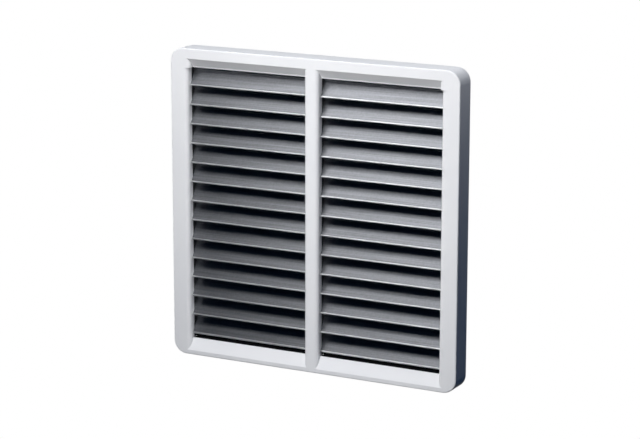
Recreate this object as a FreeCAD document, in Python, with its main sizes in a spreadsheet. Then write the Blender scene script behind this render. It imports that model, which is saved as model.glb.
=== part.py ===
import FreeCAD, Part
import math
import os
import re
import Sketcher

# Louvred wall shutter: a white moulded frame with two banks of swinging slats.
# Air from the fan lifts the slats, and their own weight shuts them against a back draught.
# X runs to the right, Z up, and the shutter faces -Y. The origin is the centre of the
# wall plane, where the back edge of the frame stands. Lengths in millimetres, angles in degrees.

SIZES = {
    # Casing of the frame
    "frame_width": 500,
    "frame_height": 500,
    "frame_depth": 38,
    "wall": 3,
    "corner_radius": 22,
    "front_edge_radius": 2,
    # Flat front faces around the two openings
    "border_width": 30,
    "border_edge_radius": 7,
    "mullion_width": 24,
    "mullion_edge_radius": 6,
    "top_border": 16.3,
    "bottom_rim": 7.4,
    # Header: a slope that leans back and down to an upright lip
    "header_run": 12,
    "header_drop": 12.8,
    "lip_height": 2,
    "lip_thickness": 2,
    "cheek_width": 3.7,
    # Sill: a steep slope that rises to the back, and a ledge behind it for the rubber seal
    "sill_run": 10,
    "sill_rise": 19,
    "sill_nose": 1,
    "sill_clearance": 2,
    "seal_thickness": 1.5,
    "seal_height": 9.5,
    "seal_setback": 0.5,
    "seal_gap": 0.3,
    # Slats
    "slat_pitch": 31.2,
    "slat_chord": 31.2,
    "slat_thickness": 1.5,
    "knuckle_radius": 2.4,
    "bead_radius": 1.3,
    "bead_forward": 0.6,
    "crease_above_edge": 14.3,
    "crease_angle": 4,
    "end_gap": 1.2,
    "pivot_depth": 23,
    "pivot_drop": 2.3,
    "rest_tilt": 27.5,
    # Pivot pins and their bearings
    "pin_radius": 2,
    "pin_recess": 0.5,
    "running_gap": 0.08,
    # Crank ears on the slats, and the tie bar that clips on their pins
    "crank_arm": 10,
    "crank_angle": 39.5,
    "ear_thickness": 2,
    "ear_width": 4.4,
    "ear_end_radius": 2.6,
    "crank_pin_radius": 1.5,
    "bar_width": 7,
    "bar_thickness": 2.5,
    "bar_side_gap": 0.3,
    "bar_end": 5,
    "clip_mouth": 2.6,
    # Bearing rails
    "rail_web": 4,
    "rail_flange": 3,
    "rail_gap": 0.2,
    "rail_end": 7,
    "flange_gap": 3,
    # Screws and bosses
    "boss_radius": 4,
    "screw_radius": 1.5,
    "screw_clearance": 0.05,
    "screw_length": 14,
    "boss_hole_spare": 2,
    "screw_end": 40,
    "head_radius": 3.2,
    "head_height": 1.8,
    "head_gap": 0.2,
    "recess_width": 0.9,
    "recess_span": 3.6,
    "recess_depth": 1,
    # Lugs that take the wall screws
    "lug_thickness": 3,
    "lug_radius": 9,
    "lug_inset": 13,
    "lug_drop": 47,
    "fixing_hole_radius": 2.75,
}

SCREWS_PER_RAIL = 4

doc = FreeCAD.newDocument("Shutter")
sheet = doc.addObject("Spreadsheet::Sheet", "Sizes")
for row, (size_name, size) in enumerate(SIZES.items(), start=1):
    sheet.set(f"A{row}", size_name)
    sheet.set(f"B{row}", str(size))
    sheet.setAlias(f"B{row}", size_name)
doc.recompute()


# Planes and lines that several pieces share, as formulas of the sizes

FRONT = "(-frame_depth)"
BORDER_FACE = "(frame_width / 2 - border_width)"
BORDER_FLAT = "(frame_width / 2 - border_width + border_edge_radius)"
MULLION_FACE = "(mullion_width / 2)"
MULLION_FLAT = "(mullion_width / 2 - mullion_edge_radius)"
WINDOW_TOP = "(frame_height / 2 - top_border)"
WINDOW_FOOT = "(bottom_rim - frame_height / 2)"
HEADER_FOOT = f"({WINDOW_TOP} - header_drop)"
LIP_FOOT = f"({HEADER_FOOT} - lip_height)"
REVEAL_END = f"({FRONT} + header_run + lip_thickness)"
SILL_TOP = f"({WINDOW_FOOT} + sill_rise)"
SILL_END = f"({FRONT} + sill_run)"
NOSE_END = f"({SILL_END} + sill_nose)"
LEDGE = f"({SILL_TOP} - seal_thickness)"
RAIL_FRONT = f"({REVEAL_END} + rail_gap)"
RAIL_BACK = "(-lug_thickness - head_height - head_gap)"
FLANGE_FRONT = f"({RAIL_BACK} - rail_flange)"
FLANGE_EDGE = "(frame_width / 2 - wall - flange_gap)"
SIDE_SCREW_X = f"(({BORDER_FACE} + rail_web + {FLANGE_EDGE}) / 2)"
PIVOT_Y = f"({FRONT} + pivot_depth)"
SEAL_BACK = f"({PIVOT_Y} - seal_setback)"
FIRST_PIVOT = f"({LIP_FOOT} - pivot_drop)"
SLAT_LENGTH = f"({BORDER_FACE} - {MULLION_FACE} - 2 * end_gap)"
CRANK_SLOPE = "(crank_angle - rest_tilt)"
LUG_X = f"({BORDER_FACE} - lug_inset)"
LUG_Z = "(frame_height / 2 - lug_drop)"


def formula(text):
    """Put the sheet's name before each size that a formula names."""
    return re.sub(r"[a-z_]+", lambda word: f"Sizes.{word[0]}" if word[0] in SIZES else word[0], text)


def value(text):
    """The number that a formula gives now."""
    return float(sheet.evalExpression(text))


SLAT_ROOM = f"({FIRST_PIVOT} - {SILL_TOP} - slat_chord - sill_clearance)"
SLAT_COUNT = 1 + math.floor(value(f"{SLAT_ROOM} / slat_pitch"))
RAIL_TOP = f"({FIRST_PIVOT} + rail_end)"
RAIL_FOOT = f"({SILL_TOP} + rail_gap)"
PIVOTS = [f"({FIRST_PIVOT} - {index} * slat_pitch)" for index in range(SLAT_COUNT)]
SCREW_STEP = f"(({RAIL_TOP} - {RAIL_FOOT} - 2 * screw_end) / {SCREWS_PER_RAIL - 1})"
SCREW_ROWS = [f"({RAIL_TOP} - screw_end - {index} * {SCREW_STEP})" for index in range(SCREWS_PER_RAIL)]


# Small builders, each of which binds its sizes to the sheet

TURNS = {
    "x": FreeCAD.Rotation(FreeCAD.Vector(0, 1, 0), 90),
    "y": FreeCAD.Rotation(FreeCAD.Vector(1, 0, 0), -90),
    "z": FreeCAD.Rotation(),
}
SECTION_TURN = FreeCAD.Rotation(0.5, 0.5, 0.5, 0.5)


def place(item, x, y, z):
    """Bind an object's position to three formulas."""
    for axis, text in zip("xyz", (x, y, z)):
        item.setExpression(f"Placement.Base.{axis}", formula(text))


def box(name, low, high):
    """A block between two corners, each of them three formulas."""
    item = doc.addObject("Part::Box", name)
    for side, start, end in zip(("Length", "Width", "Height"), low, high):
        item.setExpression(side, formula(f"({end}) - ({start})"))
    place(item, *low)
    return item


def cylinder(name, radius, start, length, axis):
    """A round bar that runs along one axis from a start point."""
    item = doc.addObject("Part::Cylinder", name)
    item.setExpression("Radius", formula(radius))
    item.setExpression("Height", formula(length))
    item.Placement.Rotation = TURNS[axis]
    place(item, *start)
    return item


def quarter_round(name, radius, centre, length, turn):
    """A quarter of an upright round bar, turned about Z."""
    item = cylinder(name, radius, centre, length, "z")
    item.Angle = 90
    item.Placement.Rotation = FreeCAD.Rotation(FreeCAD.Vector(0, 0, 1), turn)
    return item


def fuse(name, items):
    """Several overlapping solids as one."""
    item = doc.addObject("Part::MultiFuse", name)
    item.Shapes = items
    item.Refine = True
    return item


def cut(name, base, tools):
    """A solid with other solids taken out of it."""
    item = doc.addObject("Part::Cut", name)
    item.Base = base
    item.Tool = tools[0] if len(tools) == 1 else fuse(f"{name}_tools", tools)
    item.Refine = True
    return item


def draw_polygon(sketch, points):
    """A closed outline of straight lines, each corner held at two formulas."""
    corners = [FreeCAD.Vector(value(across), value(up), 0) for across, up in points]
    count = len(corners)
    for index in range(count):
        sketch.addGeometry(Part.LineSegment(corners[index], corners[(index + 1) % count]), False)
    for index in range(count):
        sketch.addConstraint(Sketcher.Constraint("Coincident", index, 2, (index + 1) % count, 1))
    for index, (across, up) in enumerate(points):
        for kind, text in (("DistanceX", across), ("DistanceY", up)):
            number = sketch.addConstraint(Sketcher.Constraint(kind, -1, 1, index, 1, value(text)))
            sketch.setExpression(f"Constraints[{number}]", formula(text))


def section_prism(name, points, left, right):
    """A section of straight lines, drawn in Y and Z and carried along X."""
    sketch = doc.addObject("Sketcher::SketchObject", f"{name}_section")
    sketch.Placement.Rotation = SECTION_TURN
    draw_polygon(sketch, points)
    sketch.setExpression("Placement.Base.x", formula(left))
    item = doc.addObject("Part::Extrusion", name)
    item.Base = sketch
    item.DirMode = "Normal"
    item.Solid = True
    item.setExpression("LengthFwd", formula(f"({right}) - ({left})"))
    return item


def copy(name, master, x, y, z):
    """Another piece like the first one."""
    item = doc.addObject("App::Link", name)
    item.LinkedObject = master
    item.Label = name
    place(item, x, y, z)
    return item


# Frame: a shallow tray that is open at the back, with its corners and front edge rounded

def rectangle(half_width, half_height):
    """The four corners of a rectangle about the origin."""
    return [
        (f"-{half_width}", f"-{half_height}"),
        (half_width, f"-{half_height}"),
        (half_width, half_height),
        (f"-{half_width}", half_height),
    ]


def sketch_on_wall(body, name, points):
    """An outline on the wall plane of a body."""
    sketch = body.newObject("Sketcher::SketchObject", name)
    plane = next(item for item in body.Origin.OriginFeatures if item.Role == "XZ_Plane")
    sketch.AttachmentSupport = [(plane, "")]
    sketch.MapMode = "FlatFace"
    draw_polygon(sketch, points)
    return sketch


def edges_through(shape):
    """Names of the straight edges that run from front to back."""
    names = []
    for number, edge in enumerate(shape.Edges, start=1):
        ends = [vertex.Point for vertex in edge.Vertexes]
        if len(ends) == 2 and abs((ends[1] - ends[0]).normalize().y) > 0.999:
            names.append(f"Edge{number}")
    return names


def front_face(shape):
    """Name of the flat face furthest forward."""
    depths = [face.CenterOfMass.y for face in shape.Faces]
    return f"Face{depths.index(min(depths)) + 1}"


def round_edges(body, name, base, parts, radius):
    """Round the named edges or face of a body's last feature."""
    item = body.newObject("PartDesign::Fillet", name)
    item.Base = (base, parts)
    item.setExpression("Radius", formula(radius))
    doc.recompute()
    return item


def make_casing(name, half_width, half_height, depth, corner):
    """A block with rounded corners that stands on the wall plane."""
    body = doc.addObject("PartDesign::Body", name)
    pad = body.newObject("PartDesign::Pad", f"{name}_pad")
    pad.Profile = sketch_on_wall(body, f"{name}_outline", rectangle(half_width, half_height))
    pad.setExpression("Length", formula(depth))
    doc.recompute()
    round_edges(body, f"{name}_corners", pad, edges_through(pad.Shape), corner)
    return body


def make_tray():
    """The casing less its hollow."""
    casing = make_casing(
        "casing",
        "(frame_width / 2)",
        "(frame_height / 2)",
        "frame_depth",
        "corner_radius",
    )
    corners = casing.Tip
    round_edges(casing, "casing_front", corners, [front_face(corners.Shape)], "front_edge_radius")
    hollow = make_casing(
        "hollow",
        "(frame_width / 2 - wall)",
        "(frame_height / 2 - wall)",
        "frame_depth - wall",
        "corner_radius - wall",
    )
    windows = [
        box(
            f"window_{side}",
            (left, f"{FRONT} - wall", WINDOW_FOOT),
            (right, f"{FRONT} + 2 * wall", WINDOW_TOP),
        )
        for side, left, right in WINDOWS
    ]
    return cut("tray", casing, [hollow] + windows)


# Each window runs between the flat parts of a border and of the mullion
WINDOWS = [
    ("left", f"-{BORDER_FLAT}", f"-{MULLION_FLAT}"),
    ("right", MULLION_FLAT, BORDER_FLAT),
]

# Upright sides of the openings: face, way into the opening, and edge radius
REVEALS = [
    ("left_border", f"-{BORDER_FACE}", 1, "border_edge_radius"),
    ("mullion_left", f"-{MULLION_FACE}", -1, "mullion_edge_radius"),
    ("mullion_right", MULLION_FACE, 1, "mullion_edge_radius"),
    ("right_border", BORDER_FACE, -1, "border_edge_radius"),
]


def between(name, first, second, low, high):
    """A block whose X limits may come in either order."""
    left, right = sorted((first, second), key=value)
    return box(name, (left, *low), (right, *high))


def make_reveal(name, face, way, radius):
    """One side of an opening: a quarter round of even wall at the front, and a flat wall behind."""
    centre = (f"{face} - {way} * {radius}", f"{FRONT} + {radius}", WINDOW_FOOT)
    height = f"{WINDOW_TOP} - {WINDOW_FOOT}"
    turn = -90 if way > 0 else 180
    outside = quarter_round(f"{name}_round", radius, centre, height, turn)
    inside = quarter_round(f"{name}_hollow", f"{radius} - wall", centre, height, turn)
    flat = between(
        f"{name}_wall",
        face,
        f"{face} - {way} * wall",
        (f"{FRONT} + {radius}", WINDOW_FOOT),
        (REVEAL_END, WINDOW_TOP),
    )
    return [cut(f"{name}_edge", outside, [inside]), flat]


def make_cheek(name, face, way, radius):
    """The border is wider beside the header, with the same rounded edge."""
    step = f"{face} + {way} * cheek_width"
    back = f"{FRONT} + header_run"
    centre = (f"{step} - {way} * {radius}", f"{FRONT} + {radius}", LIP_FOOT)
    height = f"{WINDOW_TOP} - {LIP_FOOT}"
    flat = between(
        f"{name}_cheek_front",
        f"{face} - {way} * {radius}",
        centre[0],
        (FRONT, LIP_FOOT),
        (back, WINDOW_TOP),
    )
    side = between(
        f"{name}_cheek_side",
        f"{face} - {way} * wall",
        step,
        (f"{FRONT} + {radius}", LIP_FOOT),
        (back, WINDOW_TOP),
    )
    edge = quarter_round(f"{name}_cheek_edge", radius, centre, height, -90 if way > 0 else 180)
    return [flat, side, edge]


def make_header(side, left, right):
    """The slope below the top border, and its lip."""
    rise = "wall * sqrt(header_run ^ 2 + header_drop ^ 2) / header_run"
    fall = "header_drop * (header_run + lip_thickness) / header_run"
    section = [
        (FRONT, WINDOW_TOP),
        (f"{FRONT} + header_run", HEADER_FOOT),
        (f"{FRONT} + header_run", LIP_FOOT),
        (REVEAL_END, LIP_FOOT),
        (REVEAL_END, f"{WINDOW_TOP} - {fall} + {rise}"),
        (FRONT, f"{WINDOW_TOP} + {rise}"),
    ]
    return section_prism(f"header_{side}", section, left, right)


def make_sill(side, left, right):
    """The slope above the bottom rim, its narrow nose, and the sunken ledge behind it."""
    inside = f"({FRONT} + wall * sqrt(sill_run ^ 2 + sill_rise ^ 2) / sill_rise)"
    ledge_foot = f"({LEDGE} - wall)"
    root = f"({WINDOW_FOOT} - wall / 2)"
    section = [
        (FRONT, root),
        (FRONT, WINDOW_FOOT),
        (SILL_END, SILL_TOP),
        (NOSE_END, SILL_TOP),
        (NOSE_END, LEDGE),
        (SEAL_BACK, LEDGE),
        (SEAL_BACK, ledge_foot),
        (f"{inside} + ({ledge_foot} - {WINDOW_FOOT}) * sill_run / sill_rise", ledge_foot),
        (inside, WINDOW_FOOT),
        (inside, root),
    ]
    return section_prism(f"sill_{side}", section, left, right)


SCREW_COLUMNS = [("left", f"-{SIDE_SCREW_X}"), ("centre", "0"), ("right", SIDE_SCREW_X)]
SCREW_PLACES = [
    (f"{column}_{number}", x, z)
    for column, x in SCREW_COLUMNS
    for number, z in enumerate(SCREW_ROWS, start=1)
]
LUG_PLACES = [
    (f"{side}_{level}", across, up)
    for side, across in (("left", -1), ("right", 1))
    for level, up in (("top", 1), ("foot", -1))
]


def make_bosses():
    """Round posts inside the frame, which the rails are screwed to."""
    start = f"{FRONT} + wall / 2"
    return [
        cylinder(f"boss_{name}", "boss_radius", (x, start, z), f"{FLANGE_FRONT} - ({start})", "y")
        for name, x, z in SCREW_PLACES
    ]


def make_boss_holes():
    """A blind hole in each boss."""
    depth = "(screw_length - rail_flange + boss_hole_spare)"
    radius = "screw_radius + screw_clearance"
    return [
        cylinder(f"boss_hole_{name}", radius, (x, f"{FLANGE_FRONT} - {depth}", z), f"{depth} + wall", "y")
        for name, x, z in SCREW_PLACES
    ]


def make_lugs():
    """Flat tabs on the wall plane, from the side walls into the openings."""
    tabs = []
    for name, across, up in LUG_PLACES:
        x = f"{across} * {LUG_X}"
        z = f"{up} * {LUG_Z}"
        start = (x, "-lug_thickness", z)
        tabs.append(cylinder(f"lug_end_{name}", "lug_radius", start, "lug_thickness", "y"))
        tabs.append(
            between(
                f"lug_{name}",
                x,
                f"{across} * (frame_width / 2 - wall / 2)",
                ("-lug_thickness", f"{z} - lug_radius"),
                ("0", f"{z} + lug_radius"),
            )
        )
    return tabs


def make_lug_holes():
    """A hole for a wall screw in each lug."""
    return [
        cylinder(
            f"lug_hole_{name}",
            "fixing_hole_radius",
            (f"{across} * {LUG_X}", "-2 * lug_thickness", f"{up} * {LUG_Z}"),
            "3 * lug_thickness",
            "y",
        )
        for name, across, up in LUG_PLACES
    ]


def make_frame():
    """The whole moulding."""
    walls = [make_tray()]
    for reveal in REVEALS:
        walls += make_reveal(*reveal)
    walls += make_cheek(*REVEALS[0])
    walls += make_cheek(*REVEALS[3])
    for window in WINDOWS:
        walls.append(make_header(*window))
        walls.append(make_sill(*window))
    whole = fuse("frame_walls", walls + make_bosses() + make_lugs())
    frame = cut("frame", whole, make_boss_holes() + make_lug_holes())
    frame.Label = "frame"
    return frame


# Seals: a rubber angle on the ledge of each sill, which the lowest slat closes against

def make_seals():
    """A flat foot that fills the ledge, and a fin that stands up at its back."""
    foot_front = f"{NOSE_END} + seal_gap"
    fin_front = f"{SEAL_BACK} - seal_thickness"
    fin_top = f"{SILL_TOP} + seal_height"
    section = [
        (foot_front, LEDGE),
        (foot_front, SILL_TOP),
        (fin_front, SILL_TOP),
        (fin_front, fin_top),
        (SEAL_BACK, fin_top),
        (SEAL_BACK, LEDGE),
    ]
    near = f"{MULLION_FACE} + seal_gap"
    far = f"{BORDER_FACE} - seal_gap"
    seals = []
    for side, left, right in (("left", f"-({far})", f"-({near})"), ("right", near, far)):
        seal = section_prism(f"sill_seal_{side}", section, left, right)
        seal.Label = f"sill_seal_{side}"
        seals.append(seal)
    return seals


# Slat: a thin extrusion, drawn hanging straight down from its pivot line, which starts at the origin

def make_crank():
    """Two ears behind the slat with a pin between them, drawn level and then turned up."""
    middle = f"{SLAT_LENGTH} / 2"
    inner = "(bar_thickness / 2 + bar_side_gap)"
    outer = f"({inner} + ear_thickness)"
    parts = []
    for name, start in (("near", f"{middle} - {outer}"), ("far", f"{middle} + {inner}")):
        parts.append(
            box(
                f"ear_{name}",
                (start, "0", "-ear_width / 2"),
                (f"{start} + ear_thickness", "crank_arm", "ear_width / 2"),
            )
        )
        end = (start, "crank_arm", "0")
        parts.append(cylinder(f"ear_end_{name}", "ear_end_radius", end, "ear_thickness", "x"))
    pin_start = (f"{middle} - {outer}", "crank_arm", "0")
    parts.append(cylinder("crank_pin", "crank_pin_radius", pin_start, f"2 * {outer}", "x"))
    crank = fuse("crank", parts)
    crank.Placement.Rotation = FreeCAD.Rotation(FreeCAD.Vector(1, 0, 0), SIZES["crank_angle"])
    crank.setExpression("Placement.Rotation.Angle", formula("crank_angle"))
    return crank


def below_crease(down, back):
    """A point of the lower flat: so far down it from the crease, and so far behind its middle."""
    y = f"{back} * cos(crease_angle) - {down} * sin(crease_angle)"
    z = f"crease_above_edge - slat_chord - {down} * cos(crease_angle) - {back} * sin(crease_angle)"
    return y, z


def make_slat():
    """Creased aluminium blade with a knuckle and a rolled lip, and the pins and crank fixed to it."""
    half = "(slat_thickness / 2)"
    lower = "(crease_above_edge - bead_radius)"
    mitre = f"{half} * tan(crease_angle / 2)"
    pin_out = "(end_gap + rail_web - pin_recess)"
    section = [
        (f"-{half}", half),
        (f"-{half}", f"crease_above_edge - slat_chord + {mitre}"),
        below_crease(lower, f"(-{half})"),
        below_crease(lower, half),
        (half, f"crease_above_edge - slat_chord - {mitre}"),
        (half, half),
    ]
    blade = section_prism("blade", section, "0", SLAT_LENGTH)
    knuckle = cylinder("knuckle", "knuckle_radius", ("0", "0", "0"), SLAT_LENGTH, "x")
    bead_start = ("0", *below_crease(lower, "(-bead_forward)"))
    bead = cylinder("bead", "bead_radius", bead_start, SLAT_LENGTH, "x")
    pins = cylinder("pins", "pin_radius", (f"-{pin_out}", "0", "0"), f"{SLAT_LENGTH} + 2 * {pin_out}", "x")
    return fuse("slat", [blade, knuckle, bead, pins, make_crank()])


def hang_slats(master):
    """One copy of the slat on each pivot of both banks, swung part open."""
    slats = []
    for side, left in (("left", f"-{BORDER_FACE}"), ("right", MULLION_FACE)):
        for number, pivot in enumerate(PIVOTS, start=1):
            slat = copy(f"slat_{side}_{number:02d}", master, f"{left} + end_gap", PIVOT_Y, pivot)
            slat.Placement.Rotation = FreeCAD.Rotation(FreeCAD.Vector(1, 0, 0), -SIZES["rest_tilt"])
            slat.setExpression("Placement.Rotation.Angle", formula("-rest_tilt"))
            slats.append(slat)
    return slats


# Tie bar: drawn with its top pin hole at the origin, and clipped on the crank pins

def make_tie_bar():
    """An upright flat bar with a snap-in hole for each crank pin."""
    radius = "(crank_pin_radius + running_gap)"
    half = "(bar_thickness / 2)"
    span = f"({SLAT_COUNT - 1} * slat_pitch)"
    bar = box(
        "bar",
        (f"-{half}", "-bar_width / 2", f"-{span} - bar_end"),
        (half, "bar_width / 2", "bar_end"),
    )
    holes = []
    for number in range(SLAT_COUNT):
        z = f"(-{number} * slat_pitch)"
        start = ("-bar_thickness", "0", z)
        holes.append(cylinder(f"bar_hole_{number}", radius, start, "2 * bar_thickness", "x"))
        holes.append(
            box(
                f"bar_mouth_{number}",
                ("-bar_thickness", "-bar_width", f"{z} - clip_mouth / 2"),
                ("bar_thickness", "0", f"{z} + clip_mouth / 2"),
            )
        )
    return cut("tie_bar", bar, holes)


def hang_tie_bars(master):
    """One bar behind the middle of each bank."""
    y = f"{PIVOT_Y} + crank_arm * cos({CRANK_SLOPE})"
    z = f"{FIRST_PIVOT} + crank_arm * sin({CRANK_SLOPE})"
    middle = f"({BORDER_FACE} + {MULLION_FACE}) / 2"
    return [copy("tie_bar_left", master, f"-{middle}", y, z), copy("tie_bar_right", master, middle, y, z)]


# Bearing rails: a web beside each bank of slats, and a flange that is screwed to the bosses

def make_rail(side, webs, flange_left, flange_right, screw_x):
    """A moulded rail with a bearing hole for every pivot."""
    low = (flange_left, FLANGE_FRONT, RAIL_FOOT)
    high = (flange_right, RAIL_BACK, RAIL_TOP)
    plates = [box(f"flange_{side}", low, high)]
    for number, (left, right) in enumerate(webs, start=1):
        low = (left, RAIL_FRONT, RAIL_FOOT)
        high = (right, RAIL_BACK, RAIL_TOP)
        plates.append(box(f"web_{side}_{number}", low, high))
    first = f"{webs[0][0]} - rail_web"
    length = f"{webs[-1][1]} - ({webs[0][0]}) + 2 * rail_web"
    bore = "pin_radius + running_gap"
    holes = [
        cylinder(f"bearing_{side}_{number}", bore, (first, PIVOT_Y, pivot), length, "x")
        for number, pivot in enumerate(PIVOTS, start=1)
    ]
    holes += [
        cylinder(
            f"flange_hole_{side}_{number}",
            "screw_radius + screw_clearance",
            (screw_x, f"{FLANGE_FRONT} - rail_flange", z),
            "3 * rail_flange",
            "y",
        )
        for number, z in enumerate(SCREW_ROWS, start=1)
    ]
    rail = cut(f"rail_{side}", fuse(f"rail_plates_{side}", plates), holes)
    rail.Label = f"rail_{side}"
    return rail


def make_rails():
    """Two angles behind the borders and a channel behind the mullion."""
    outer = f"({BORDER_FACE} + rail_web)"
    inner = f"({MULLION_FACE} - rail_web)"
    left_web = (f"-{outer}", f"-{BORDER_FACE}")
    right_web = (BORDER_FACE, outer)
    centre_webs = [(f"-{MULLION_FACE}", f"-{inner}"), (inner, MULLION_FACE)]
    return [
        make_rail("left", [left_web], f"-{FLANGE_EDGE}", f"-{BORDER_FACE}", f"-{SIDE_SCREW_X}"),
        make_rail("centre", centre_webs, f"-{MULLION_FACE}", MULLION_FACE, "0"),
        make_rail("right", [right_web], BORDER_FACE, FLANGE_EDGE, SIDE_SCREW_X),
    ]


# Screws: a flat round head with a cross recess, drawn with the head's seat at the origin

def make_screws():
    """All the rail screws, as one group of separate solids."""
    shank = cylinder("shank", "screw_radius", ("0", "-screw_length", "0"), "screw_length", "y")
    head = cylinder("head", "head_radius", ("0", "0", "0"), "head_height", "y")
    bottom = "head_height - recess_depth"
    top = "2 * head_height"
    long_half = "recess_span / 2"
    thin_half = "recess_width / 2"
    recess = [
        box("recess_across", (f"-{long_half}", bottom, f"-{thin_half}"), (long_half, top, thin_half)),
        box("recess_up", (f"-{thin_half}", bottom, f"-{long_half}"), (thin_half, top, long_half)),
    ]
    master = cut("screw", fuse("screw_blank", [shank, head]), recess)
    group = doc.addObject("Part::Compound", "rail_screws")
    group.Links = [copy(f"screw_{name}", master, x, RAIL_BACK, z) for name, x, z in SCREW_PLACES]
    group.Label = "rail_screws"
    return group


sub_parts = [make_frame()]
sub_parts += make_seals()
sub_parts += make_rails()
sub_parts += hang_slats(make_slat())
sub_parts += hang_tie_bars(make_tie_bar())
sub_parts.append(make_screws())
doc.recompute()

for item in doc.Objects:
    if "Invalid" in item.State or "Error" in item.State:
        raise RuntimeError(f"{item.Label} failed: {item.State}")
for item in sub_parts:
    if item.Shape.isNull() or not item.Shape.isValid():
        raise RuntimeError(f"{item.Label} has no valid shape")

os.makedirs("parts", exist_ok=True)
for item in sub_parts:
    item.Shape.exportStep(os.path.join("parts", f"{item.Label}.step"))
    print(f"{item.Label}: {len(item.Shape.Solids)} solid, {item.Shape.Volume / 1000:.2f} cm3")
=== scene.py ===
# %% [markdown]
# # A louvred wall shutter
#
# The object is a white plastic wall shutter with two banks of aluminium slats. A fan blows the
# slats open, and their own weight shuts them against a back draught. Its solids come from the
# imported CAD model, so every size and place is already right. This notebook gives each surface its
# finish, sets up the light and puts the camera where the photographer stood.

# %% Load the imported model
import math

import bpy
from mathutils import Matrix, Vector


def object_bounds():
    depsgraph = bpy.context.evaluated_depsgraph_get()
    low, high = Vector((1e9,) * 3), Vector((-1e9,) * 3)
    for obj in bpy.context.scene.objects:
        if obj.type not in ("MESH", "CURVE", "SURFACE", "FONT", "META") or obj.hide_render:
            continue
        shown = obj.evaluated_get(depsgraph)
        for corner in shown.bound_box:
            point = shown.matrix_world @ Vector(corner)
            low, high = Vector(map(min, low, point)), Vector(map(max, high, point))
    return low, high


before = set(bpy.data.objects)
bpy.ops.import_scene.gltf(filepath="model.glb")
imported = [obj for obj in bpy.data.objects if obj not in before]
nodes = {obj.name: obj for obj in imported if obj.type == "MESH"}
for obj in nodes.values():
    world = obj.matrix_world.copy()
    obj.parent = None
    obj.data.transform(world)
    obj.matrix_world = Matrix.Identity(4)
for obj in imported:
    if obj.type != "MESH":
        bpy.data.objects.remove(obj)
cad_low, cad_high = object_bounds()
print("CAD box", tuple(cad_low), tuple(cad_high))

# %% [markdown]
# ## The camera
#
# The photographer stood to the right of the shutter, a little above it, and used a long lens, so
# the upright edges stay nearly parallel. A yaw, a pitch and a distance from one aimed point say
# the same thing as a position and a rotation, but they can be read and changed by eye. The
# numbers come from fitting the frame's straight edges to the photograph.

# %% Place the camera
scene = bpy.context.scene
PICTURE_WIDTH = 640
FOCAL_PIXELS = 2291.2
SENSOR_WIDTH = 36.0
VIEW_YAW = math.radians(27.52)
VIEW_PITCH = math.radians(13.13)
VIEW_ROLL = math.radians(0.08)
VIEW_AIM = Vector((0.0064, -0.019, -0.0052))
VIEW_DISTANCE = 3.5696

forward = Vector((
    -math.sin(VIEW_YAW) * math.cos(VIEW_PITCH),
    math.cos(VIEW_YAW) * math.cos(VIEW_PITCH),
    -math.sin(VIEW_PITCH),
))
camera_data = bpy.data.cameras.new("camera")
camera_data.sensor_width = SENSOR_WIDTH
camera_data.lens = FOCAL_PIXELS * SENSOR_WIDTH / PICTURE_WIDTH
camera = bpy.data.objects.new("camera", camera_data)
scene.collection.objects.link(camera)
camera.location = VIEW_AIM - forward * VIEW_DISTANCE
camera.rotation_mode = "QUATERNION"
level_turn = forward.to_track_quat("-Z", "Y").to_matrix()
camera.rotation_quaternion = (level_turn @ Matrix.Rotation(VIEW_ROLL, 3, "Z")).to_quaternion()
scene.camera = camera
scene.view_settings.view_transform = "Standard"
print("lens", round(camera_data.lens, 1), "mm, camera at", tuple(round(v, 3) for v in camera.location))

# %% [markdown]
# ## Small helpers for materials
#
# Colours are easiest to pick as sRGB hex values, while shaders want linear light, so one function
# turns one into the other. A second one adds a node, sets its sockets and links it, which keeps
# each material short enough to read as a recipe. Every pattern is sized in millimetres: a texture
# node counts cells to the metre, so a third function turns a cell's size into that count. Depths
# and radii go straight to a socket, so they are in metres.


# %% Helpers for materials
def linear(hex_colour):
    """An sRGB hex colour as linear RGBA: the power curve of the sRGB standard, channel by channel."""
    channels = [int(hex_colour[i:i + 2], 16) / 255 for i in (1, 3, 5)]
    curve = [c / 12.92 if c <= 0.04045 else ((c + 0.055) / 1.055) ** 2.4 for c in channels]
    return (*curve, 1.0)


def add(tree, kind, settings=None, **sockets):
    """Add a node to a tree. A socket's value is a constant, or the output socket to link to it."""
    node = tree.nodes.new(kind)
    for name, value in (settings or {}).items():
        setattr(node, name, value)
    for name, value in sockets.items():
        socket = node.inputs[int(name[1:])] if name[1:].isdigit() else node.inputs[name.replace("_", " ")]
        if isinstance(value, bpy.types.NodeSocket):
            tree.links.new(value, socket)
        else:
            socket.default_value = value
    return node


def per_metre(millimetres):
    """How many cells of this size go into a metre."""
    return 1000 / millimetres


def new_material(name):
    """An empty node material and its tree."""
    material = bpy.data.materials.new(name)
    material.use_nodes = True
    material.node_tree.nodes.clear()
    return material, material.node_tree


def dress(material, *names):
    """Give one material to every slot of the named CAD nodes."""
    for name in names:
        mesh = nodes[name].data
        mesh.materials.clear()
        mesh.materials.append(material)
    print(material.name, "on", len(names), "nodes")


print("white is", linear("#ffffff"))

# %% [markdown]
# ## The studio around the shutter
#
# The photograph has a pure white background, but the shutter itself faced a rather dark room: the
# side away from the lamp is a deep blue grey, and the metal is black wherever it mirrors no lamp.
# So a white backdrop stands behind the object and along its right side. The world is white for
# every ray that the camera sends out, and for gloss and glass where they look at that backdrop.
# Towards the front and the left, and for the rays that carry light, it is the dim blue of the
# room, so the white never lights the object. In the metal that room is dimmer still, as black
# cards around the lamp would make it.

# %% World
# Glossy depth counts whole bounces, so this parts the first one from the rest
ONE_BOUNCE = 1.5


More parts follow.
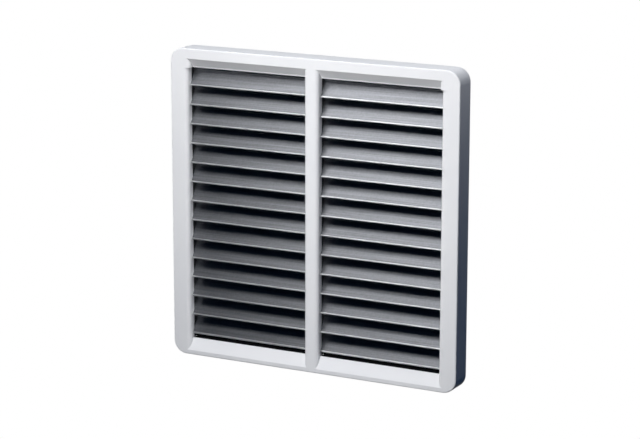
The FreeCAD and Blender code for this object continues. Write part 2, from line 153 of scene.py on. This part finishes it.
def white_rays(tree, behind):
    """How far a ray sees the white background: fully from the camera, and at the backdrop in a mirror.

    A ray that metal has already passed on to other metal sees the dark room instead.
    """
    path = add(tree, "ShaderNodeLightPath").outputs
    mirrored = add(
        tree,
        "ShaderNodeMath",
        {"operation": "MAXIMUM"},
        _0=path["Is Glossy Ray"],
        _1=path["Is Transmission Ray"],
    )
    first = add(tree, "ShaderNodeMath", {"operation": "LESS_THAN"}, _0=path["Glossy Depth"], _1=ONE_BOUNCE)
    direct = add(
        tree,
        "ShaderNodeMath",
        {"operation": "MULTIPLY"},
        _0=mirrored.outputs[0],
        _1=first.outputs[0],
    )
    back = add(tree, "ShaderNodeMath", {"operation": "MULTIPLY"}, _0=direct.outputs[0], _1=behind)
    seen = add(
        tree,
        "ShaderNodeMath",
        {"operation": "MAXIMUM"},
        _0=path["Is Camera Ray"],
        _1=back.outputs[0],
    )
    return seen.outputs[0]


BACKGROUND = linear("#ffffff")
ROOM = linear("#1c3350")
ROOM_IN_METAL = 0.25
BACKDROP_TURN = math.radians(45)
BACKDROP_WAY = (math.sin(BACKDROP_TURN), math.cos(BACKDROP_TURN), 0)
BACKDROP_EDGE = math.cos(math.radians(75))
BACKDROP_FULL = math.cos(math.radians(60))

world = bpy.data.worlds.new("white_studio")
scene.world = world
world.use_nodes = True
tree = world.node_tree
tree.nodes.clear()
way = add(tree, "ShaderNodeTexCoord").outputs["Generated"]
facing = add(tree, "ShaderNodeVectorMath", {"operation": "DOT_PRODUCT"}, _0=way, _1=BACKDROP_WAY)
backdrop = add(
    tree,
    "ShaderNodeMapRange",
    Value=facing.outputs["Value"],
    From_Min=BACKDROP_EDGE,
    From_Max=BACKDROP_FULL,
)
seen = white_rays(tree, backdrop.outputs[0])
mirror = add(tree, "ShaderNodeLightPath").outputs["Is Glossy Ray"]
level = add(tree, "ShaderNodeMapRange", Value=mirror, To_Min=1.0, To_Max=ROOM_IN_METAL)
room = add(tree, "ShaderNodeBackground", Color=ROOM, Strength=level.outputs[0])
white = add(tree, "ShaderNodeBackground", Color=BACKGROUND, Strength=1.0)
sky = add(tree, "ShaderNodeMixShader", Fac=seen, _1=room.outputs[0], _2=white.outputs[0])
add(tree, "ShaderNodeOutputWorld", Surface=sky.outputs[0])
print("room", tuple(round(c, 3) for c in ROOM))

# %% [markdown]
# ## The floor
#
# A large pale floor lies well below the shutter, as if it hung on a stand. Far away it is plain
# white, so that it runs into the background with no line. Under the object it is a matt surface
# over a glow, so the object's soft shadow shows on it. Gloss and glass see it white close behind
# the object. For rays that carry light it stays dim, or it would brighten the underside of
# everything.

# %% Floor
FLOOR_DROP = 1.0
FLOOR_HALF = 20.0
FLOOR_PALE = linear("#f2f2f2")
FLOOR_DIM = linear("#20262e")
FLOOR_GLOW = 0.82
SHADOW_REACH = 1.3
SHADOW_END = 2.2
# A floor point's depth behind the object, as a share of its distance: below the first value gloss
# sees no white there, and above the second it sees all of it
BACK_EDGE = -0.05
BACK_FULL = 0.25

floor_level = cad_low.z - FLOOR_DROP
corner_signs = ((-1, -1), (1, -1), (1, 1), (-1, 1))
corners = [(FLOOR_HALF * x, FLOOR_HALF * y, floor_level) for x, y in corner_signs]
floor_mesh = bpy.data.meshes.new("floor")
floor_mesh.from_pydata(corners, [], [(0, 1, 2, 3)])
floor = bpy.data.objects.new("floor", floor_mesh)
scene.collection.objects.link(floor)

floor_material, tree = new_material("pale_studio_floor")
place = add(tree, "ShaderNodeTexCoord").outputs["Object"]
flat = add(tree, "ShaderNodeVectorMath", {"operation": "MULTIPLY"}, _0=place, _1=(1, 1, 0))
reach = add(tree, "ShaderNodeVectorMath", {"operation": "LENGTH"}, _0=flat.outputs[0])
near = add(
    tree,
    "ShaderNodeMapRange",
    {"interpolation_type": "SMOOTHSTEP"},
    Value=reach.outputs["Value"],
    From_Min=SHADOW_REACH,
    From_Max=SHADOW_END,
    To_Min=1.0,
    To_Max=0.0,
)
glow = add(tree, "ShaderNodeEmission", Color=BACKGROUND, Strength=FLOOR_GLOW)
matt = add(tree, "ShaderNodeBsdfDiffuse", Color=FLOOR_PALE)
shaded = add(tree, "ShaderNodeAddShader", _0=glow.outputs[0], _1=matt.outputs[0])
plain = add(tree, "ShaderNodeEmission", Color=BACKGROUND, Strength=1.0)
shown = add(tree, "ShaderNodeMixShader", Fac=near.outputs[0], _1=plain.outputs[0], _2=shaded.outputs[0])
dim = add(tree, "ShaderNodeBsdfDiffuse", Color=FLOOR_DIM)
depth = add(tree, "ShaderNodeSeparateXYZ", Vector=place).outputs["Y"]
rear = add(tree, "ShaderNodeMath", {"operation": "DIVIDE"}, _0=depth, _1=reach.outputs["Value"])
behind = add(tree, "ShaderNodeMapRange", Value=rear.outputs[0], From_Min=BACK_EDGE, From_Max=BACK_FULL)
close_behind = add(
    tree,
    "ShaderNodeMath",
    {"operation": "MULTIPLY"},
    _0=behind.outputs[0],
    _1=near.outputs[0],
)
seen = white_rays(tree, close_behind.outputs[0])
both = add(tree, "ShaderNodeMixShader", Fac=seen, _1=dim.outputs[0], _2=shown.outputs[0])
add(tree, "ShaderNodeOutputMaterial", Surface=both.outputs[0])
floor_mesh.materials.append(floor_material)
print("floor at", round(floor_level, 3))

# %% [markdown]
# ## The lamps
#
# One long softbox hangs in front of the shutter and high above it. It throws the black shadow
# under every slat's lip, and its mirror image in the brushed metal makes the slats bright on the
# right and dark at the bottom left. A narrow one straight ahead lifts the surfaces that face
# down, such as the header. A weak one stands close to the right wall's top, which fades downwards
# in the photograph, and one straight behind lights only the back. These three are kept out of
# reflections, so the metal stays black under the lips. A lamp's place is given as a turn, a
# height angle, both in degrees, and a distance in metres.

# %% Lamps
KEY_TURN, KEY_HEIGHT, KEY_DISTANCE = -8, 59, 1.3
KEY_SIZE = (1.27, 0.5)
KEY_POWER = 14.1
FILL_TURN, FILL_HEIGHT, FILL_DISTANCE = 7, 4, 0.9
FILL_SIZE = (0.3, 0.5)
FILL_POWER = 3.95
SIDE_TURN, SIDE_HEIGHT, SIDE_DISTANCE = 90, 45, 0.6
SIDE_SIZE = (0.15, 0.15)
SIDE_POWER = 0.14
REAR_TURN, REAR_HEIGHT, REAR_DISTANCE = 180, -8, 1.2
REAR_SIZE = (0.45, 0.45)
REAR_POWER = 11.0


def softbox(name, turn, height, distance, size, power, mirrored=True):
    """An oblong lamp that faces the origin. Its turn is to the right of straight ahead."""
    lamp = bpy.data.lights.new(name, "AREA")
    lamp.shape = "RECTANGLE"
    lamp.size, lamp.size_y = size
    lamp.energy = power
    item = bpy.data.objects.new(name, lamp)
    scene.collection.objects.link(item)
    turn, height = math.radians(turn), math.radians(height)
    to_lamp = Vector((
        math.sin(turn) * math.cos(height),
        -math.cos(turn) * math.cos(height),
        math.sin(height),
    ))
    item.location = distance * to_lamp
    item.rotation_mode = "QUATERNION"
    item.rotation_quaternion = (-to_lamp).to_track_quat("-Z", "Y")
    item.visible_camera = False
    item.visible_glossy = mirrored
    print(name, "at", tuple(round(v, 2) for v in item.location))


softbox("key_softbox", KEY_TURN, KEY_HEIGHT, KEY_DISTANCE, KEY_SIZE, KEY_POWER)
softbox("fill_softbox", FILL_TURN, FILL_HEIGHT, FILL_DISTANCE, FILL_SIZE, FILL_POWER, mirrored=False)
softbox("side_softbox", SIDE_TURN, SIDE_HEIGHT, SIDE_DISTANCE, SIDE_SIZE, SIDE_POWER, mirrored=False)
softbox("rear_softbox", REAR_TURN, REAR_HEIGHT, REAR_DISTANCE, REAR_SIZE, REAR_POWER, mirrored=False)

# %% [markdown]
# ## White plastic of the frame
#
# The frame is one moulding of a weatherproof white plastic. The mould's fine spark texture makes it
# satin, with no clear mirror image, and the melt leaves faint clouds of tone where it flowed. A
# flat white would look like card, so noise varies the tone over centimetres and the roughness over
# millimetres, and a fine bump gives the grain. The real grain is about a tenth of a millimetre, too
# fine to show, so it is drawn several times coarser.

# %% White moulded plastic
# Most of a noise lies between these two values
NOISE_LOW, NOISE_HIGH = 0.3, 0.7
WHITE_DARK, WHITE_PALE = linear("#ececee"), linear("#f2f2f2")
WHITE_SMOOTH, WHITE_ROUGH = 0.46, 0.56
WHITE_CLOUD_SIZE = 70
WHITE_PATCH_SIZE = 6
WHITE_GRAIN_SIZE = 0.9
WHITE_GRAIN_DEPTH = 0.00003
WHITE_GRAIN_STRENGTH = 0.5
WHITE_EDGE_RADIUS = 0.0006
WHITE_EDGE_SAMPLES = 4

white_plastic, tree = new_material("moulded_white_asa")
place = add(tree, "ShaderNodeTexCoord").outputs["Object"]
clouds = add(tree, "ShaderNodeTexNoise", Vector=place, Scale=per_metre(WHITE_CLOUD_SIZE), Detail=2.0)
patches = add(tree, "ShaderNodeTexNoise", Vector=place, Scale=per_metre(WHITE_PATCH_SIZE), Detail=3.0)
grain = add(tree, "ShaderNodeTexNoise", Vector=place, Scale=per_metre(WHITE_GRAIN_SIZE), Detail=2.0)
tone = add(
    tree,
    "ShaderNodeMix",
    {"data_type": "RGBA"},
    Factor=clouds.outputs[0],
    _6=WHITE_DARK,
    _7=WHITE_PALE,
)
satin = add(
    tree,
    "ShaderNodeMapRange",
    Value=patches.outputs[0],
    From_Min=NOISE_LOW,
    From_Max=NOISE_HIGH,
    To_Min=WHITE_SMOOTH,
    To_Max=WHITE_ROUGH,
)
soft_edge = add(tree, "ShaderNodeBevel", {"samples": WHITE_EDGE_SAMPLES}, Radius=WHITE_EDGE_RADIUS)
bump = add(
    tree,
    "ShaderNodeBump",
    Strength=WHITE_GRAIN_STRENGTH,
    Distance=WHITE_GRAIN_DEPTH,
    Height=grain.outputs[0],
    Normal=soft_edge.outputs[0],
)
surface = add(
    tree,
    "ShaderNodeBsdfPrincipled",
    Base_Color=tone.outputs[2],
    Roughness=satin.outputs[0],
    IOR=1.5,
    Specular_IOR_Level=0.03,
    Normal=bump.outputs[0],
)
add(tree, "ShaderNodeOutputMaterial", Surface=surface.outputs[0])
dress(white_plastic, "frame")

# %% [markdown]
# ## Mill-finish aluminium of the slats
#
# Each slat is a thin aluminium extrusion. The die draws fine lines along its whole length, so its
# shine spreads across the lines and hardly along them. The anisotropic part of the shader does
# that, with the lines' direction given as the X axis, because a slat only ever turns about X. Long
# thin noise cells, stretched along X, draw the lines in tone, roughness and bump. The real lines
# are a few hundredths of a millimetre wide, so these are drawn coarse enough to show. The rolled
# lip gets a pale tone, which is a painted highlight: the lamp's glint on it, put into its colour. It
# is the front millimetres of every slat, so one limit in Y picks it out.

# %% Mill-finish aluminium
BLADE_DARK, BLADE_PALE = linear("#7c7e82"), linear("#9ea0a5")
BLADE_SMOOTH, BLADE_ROUGH = 0.42, 0.52
LINE_LENGTH = 110
LINE_WIDTH = 1.1
LINE_DEPTH = 0.00002
LINE_STRENGTH = 0.4
BAND_LENGTH = 260
BAND_WIDTH = 5
BAND_SHARE = 0.35
FLECK_SIZE = 3.5
FLECK_SHARE = 0.2
MARKS_LOW, MARKS_HIGH = 0.35, 0.65
# The pale lip tone is a painted highlight: the lamp's glint on the slat's front edge, set as colour
LIP_HIGHLIGHT_TONE = linear("#e6e7e8")
LIP_DEPTH = 0.0022
LIP_FULL = 0.8
SPREAD_ACROSS = 0.75
QUARTER_TURN = 0.25

slats = sorted(name for name in nodes if name.startswith("slat_"))
slat_front = min(corner[1] for corner in nodes[slats[0]].bound_box)

aluminium, tree = new_material("mill_finish_aluminium")
place = add(tree, "ShaderNodeTexCoord").outputs["Object"]
along_lines = add(
    tree,
    "ShaderNodeMapping",
    Vector=place,
    Scale=(per_metre(LINE_LENGTH), per_metre(LINE_WIDTH), per_metre(LINE_WIDTH)),
)
along_bands = add(
    tree,
    "ShaderNodeMapping",
    Vector=place,
    Scale=(per_metre(BAND_LENGTH), per_metre(BAND_WIDTH), per_metre(BAND_WIDTH)),
)
lines = add(tree, "ShaderNodeTexNoise", Vector=along_lines.outputs[0], Scale=1.0, Detail=3.0)
bands = add(tree, "ShaderNodeTexNoise", Vector=along_bands.outputs[0], Scale=1.0, Detail=1.0)
flecks = add(tree, "ShaderNodeTexNoise", Vector=place, Scale=per_metre(FLECK_SIZE), Detail=4.0)
streaks = add(
    tree,
    "ShaderNodeMix",
    {"data_type": "FLOAT"},
    Factor=BAND_SHARE,
    A=lines.outputs[0],
    B=bands.outputs[0],
)
marks = add(
    tree,
    "ShaderNodeMix",
    {"data_type": "FLOAT"},
    Factor=FLECK_SHARE,
    A=streaks.outputs[0],
    B=flecks.outputs[0],
)
shades = add(tree, "ShaderNodeMapRange", Value=marks.outputs[0], From_Min=MARKS_LOW, From_Max=MARKS_HIGH)
blade_tone = add(
    tree,
    "ShaderNodeMix",
    {"data_type": "RGBA"},
    Factor=shades.outputs[0],
    _6=BLADE_DARK,
    _7=BLADE_PALE,
)
depth = add(tree, "ShaderNodeSeparateXYZ", Vector=place).outputs["Y"]
# Mask of the painted highlight: the front millimetres of each slat take the pale lip tone
lip = add(
    tree,
    "ShaderNodeMapRange",
    Value=depth,
    From_Min=slat_front + LIP_DEPTH,
    From_Max=slat_front + LIP_FULL * LIP_DEPTH,
)
tone = add(
    tree,
    "ShaderNodeMix",
    {"data_type": "RGBA"},
    Factor=lip.outputs[0],
    _6=blade_tone.outputs[2],
    _7=LIP_HIGHLIGHT_TONE,
)
polish = add(
    tree,
    "ShaderNodeMapRange",
    Value=lines.outputs[0],
    From_Min=NOISE_LOW,
    From_Max=NOISE_HIGH,
    To_Min=BLADE_SMOOTH,
    To_Max=BLADE_ROUGH,
)
bump = add(tree, "ShaderNodeBump", Strength=LINE_STRENGTH, Distance=LINE_DEPTH, Height=lines.outputs[0])
line_way = add(tree, "ShaderNodeCombineXYZ", X=1.0)
surface = add(
    tree,
    "ShaderNodeBsdfPrincipled",
    Base_Color=tone.outputs[2],
    Metallic=1.0,
    Roughness=polish.outputs[0],
    Anisotropic=SPREAD_ACROSS,
    Anisotropic_Rotation=QUARTER_TURN,
    Tangent=line_way.outputs[0],
    Normal=bump.outputs[0],
)
add(tree, "ShaderNodeOutputMaterial", Surface=surface.outputs[0])
print("slats reach forward to", round(slat_front, 4))
dress(aluminium, *slats)

# %% [markdown]
# ## Dark nylon of the rails and tie bars
#
# The rails that hold the pivots, and the bars that tie the slats together, are moulded in dark
# nylon, which runs without oil. It has a slightly waxy satin and a coarse grain. Noise moves its
# roughness about, and a light bump breaks its reflections.

# %% Dark nylon
NYLON_DARK, NYLON_PALE = linear("#151618"), linear("#222427")
NYLON_SMOOTH, NYLON_ROUGH = 0.42, 0.62
NYLON_GRAIN_SIZE = 1.2
NYLON_GRAIN_DEPTH = 0.00005
NYLON_GRAIN_STRENGTH = 0.5

dark_nylon, tree = new_material("moulded_dark_nylon")
place = add(tree, "ShaderNodeTexCoord").outputs["Object"]
grain = add(tree, "ShaderNodeTexNoise", Vector=place, Scale=per_metre(NYLON_GRAIN_SIZE), Detail=3.0)
tone = add(
    tree,
    "ShaderNodeMix",
    {"data_type": "RGBA"},
    Factor=grain.outputs[0],
    _6=NYLON_DARK,
    _7=NYLON_PALE,
)
satin = add(
    tree,
    "ShaderNodeMapRange",
    Value=grain.outputs[0],
    To_Min=NYLON_SMOOTH,
    To_Max=NYLON_ROUGH,
)
bump = add(
    tree,
    "ShaderNodeBump",
    Strength=NYLON_GRAIN_STRENGTH,
    Distance=NYLON_GRAIN_DEPTH,
    Height=grain.outputs[0],
)
surface = add(
    tree,
    "ShaderNodeBsdfPrincipled",
    Base_Color=tone.outputs[2],
    Roughness=satin.outputs[0],
    IOR=1.53,
    Specular_IOR_Level=0.3,
    Normal=bump.outputs[0],
)
add(tree, "ShaderNodeOutputMaterial", Surface=surface.outputs[0])
dress(dark_nylon, "rail_left", "rail_centre", "rail_right", "tie_bar_left", "tie_bar_right")

# %% [markdown]
# ## Black rubber of the seals, painted shade
#
# A rubber angle lies behind each sill, and the lowest slat closes against it. Its near-black colour
# is painted shade: it keeps the gap between the lowest slat and the sill as dark as the shadow that
# falls there. It is quite matt, with a bloom that greys it in patches.

# %% Black rubber, painted shade
# The seal's near-black tones are painted shade for the gap behind the sill
SEAL_SHADE_DARK, SEAL_SHADE_PALE = linear("#0b0b0c"), linear("#161718")
RUBBER_SMOOTH, RUBBER_ROUGH = 0.65, 0.85
BLOOM_SIZE = 9

seal_black_painted_shade, tree = new_material("seal_black_as_painted_shade")
place = add(tree, "ShaderNodeTexCoord").outputs["Object"]
bloom = add(tree, "ShaderNodeTexNoise", Vector=place, Scale=per_metre(BLOOM_SIZE), Detail=4.0)
tone = add(
    tree,
    "ShaderNodeMix",
    {"data_type": "RGBA"},
    Factor=bloom.outputs[0],
    _6=SEAL_SHADE_DARK,
    _7=SEAL_SHADE_PALE,
)
matt = add(tree, "ShaderNodeMapRange", Value=bloom.outputs[0], To_Min=RUBBER_SMOOTH, To_Max=RUBBER_ROUGH)
surface = add(
    tree,
    "ShaderNodeBsdfPrincipled",
    Base_Color=tone.outputs[2],
    Roughness=matt.outputs[0],
    IOR=1.52,
    Specular_IOR_Level=0.25,
)
add(tree, "ShaderNodeOutputMaterial", Surface=surface.outputs[0])
dress(seal_black_painted_shade, "sill_seal_left", "sill_seal_right")

# %% [markdown]
# ## Zinc-plated screws
#
# The rails are held by steel screws with a bright zinc plating. Zinc dulls unevenly, so its
# roughness wanders over a millimetre or two, and its tone is a cool grey.

# %% Zinc-plated steel
ZINC_DARK, ZINC_PALE = linear("#a6abb2"), linear("#cfd2d4")
ZINC_SMOOTH, ZINC_ROUGH = 0.22, 0.42
ZINC_PATCH_SIZE = 1.5

zinc, tree = new_material("zinc_plated_steel")
place = add(tree, "ShaderNodeTexCoord").outputs["Object"]
patches = add(tree, "ShaderNodeTexNoise", Vector=place, Scale=per_metre(ZINC_PATCH_SIZE), Detail=3.0)
tone = add(
    tree,
    "ShaderNodeMix",
    {"data_type": "RGBA"},
    Factor=patches.outputs[0],
    _6=ZINC_DARK,
    _7=ZINC_PALE,
)
dulled = add(tree, "ShaderNodeMapRange", Value=patches.outputs[0], To_Min=ZINC_SMOOTH, To_Max=ZINC_ROUGH)
surface = add(
    tree,
    "ShaderNodeBsdfPrincipled",
    Base_Color=tone.outputs[2],
    Metallic=1.0,
    Roughness=dulled.outputs[0],
)
add(tree, "ShaderNodeOutputMaterial", Surface=surface.outputs[0])
dress(zinc, "rail_screws")
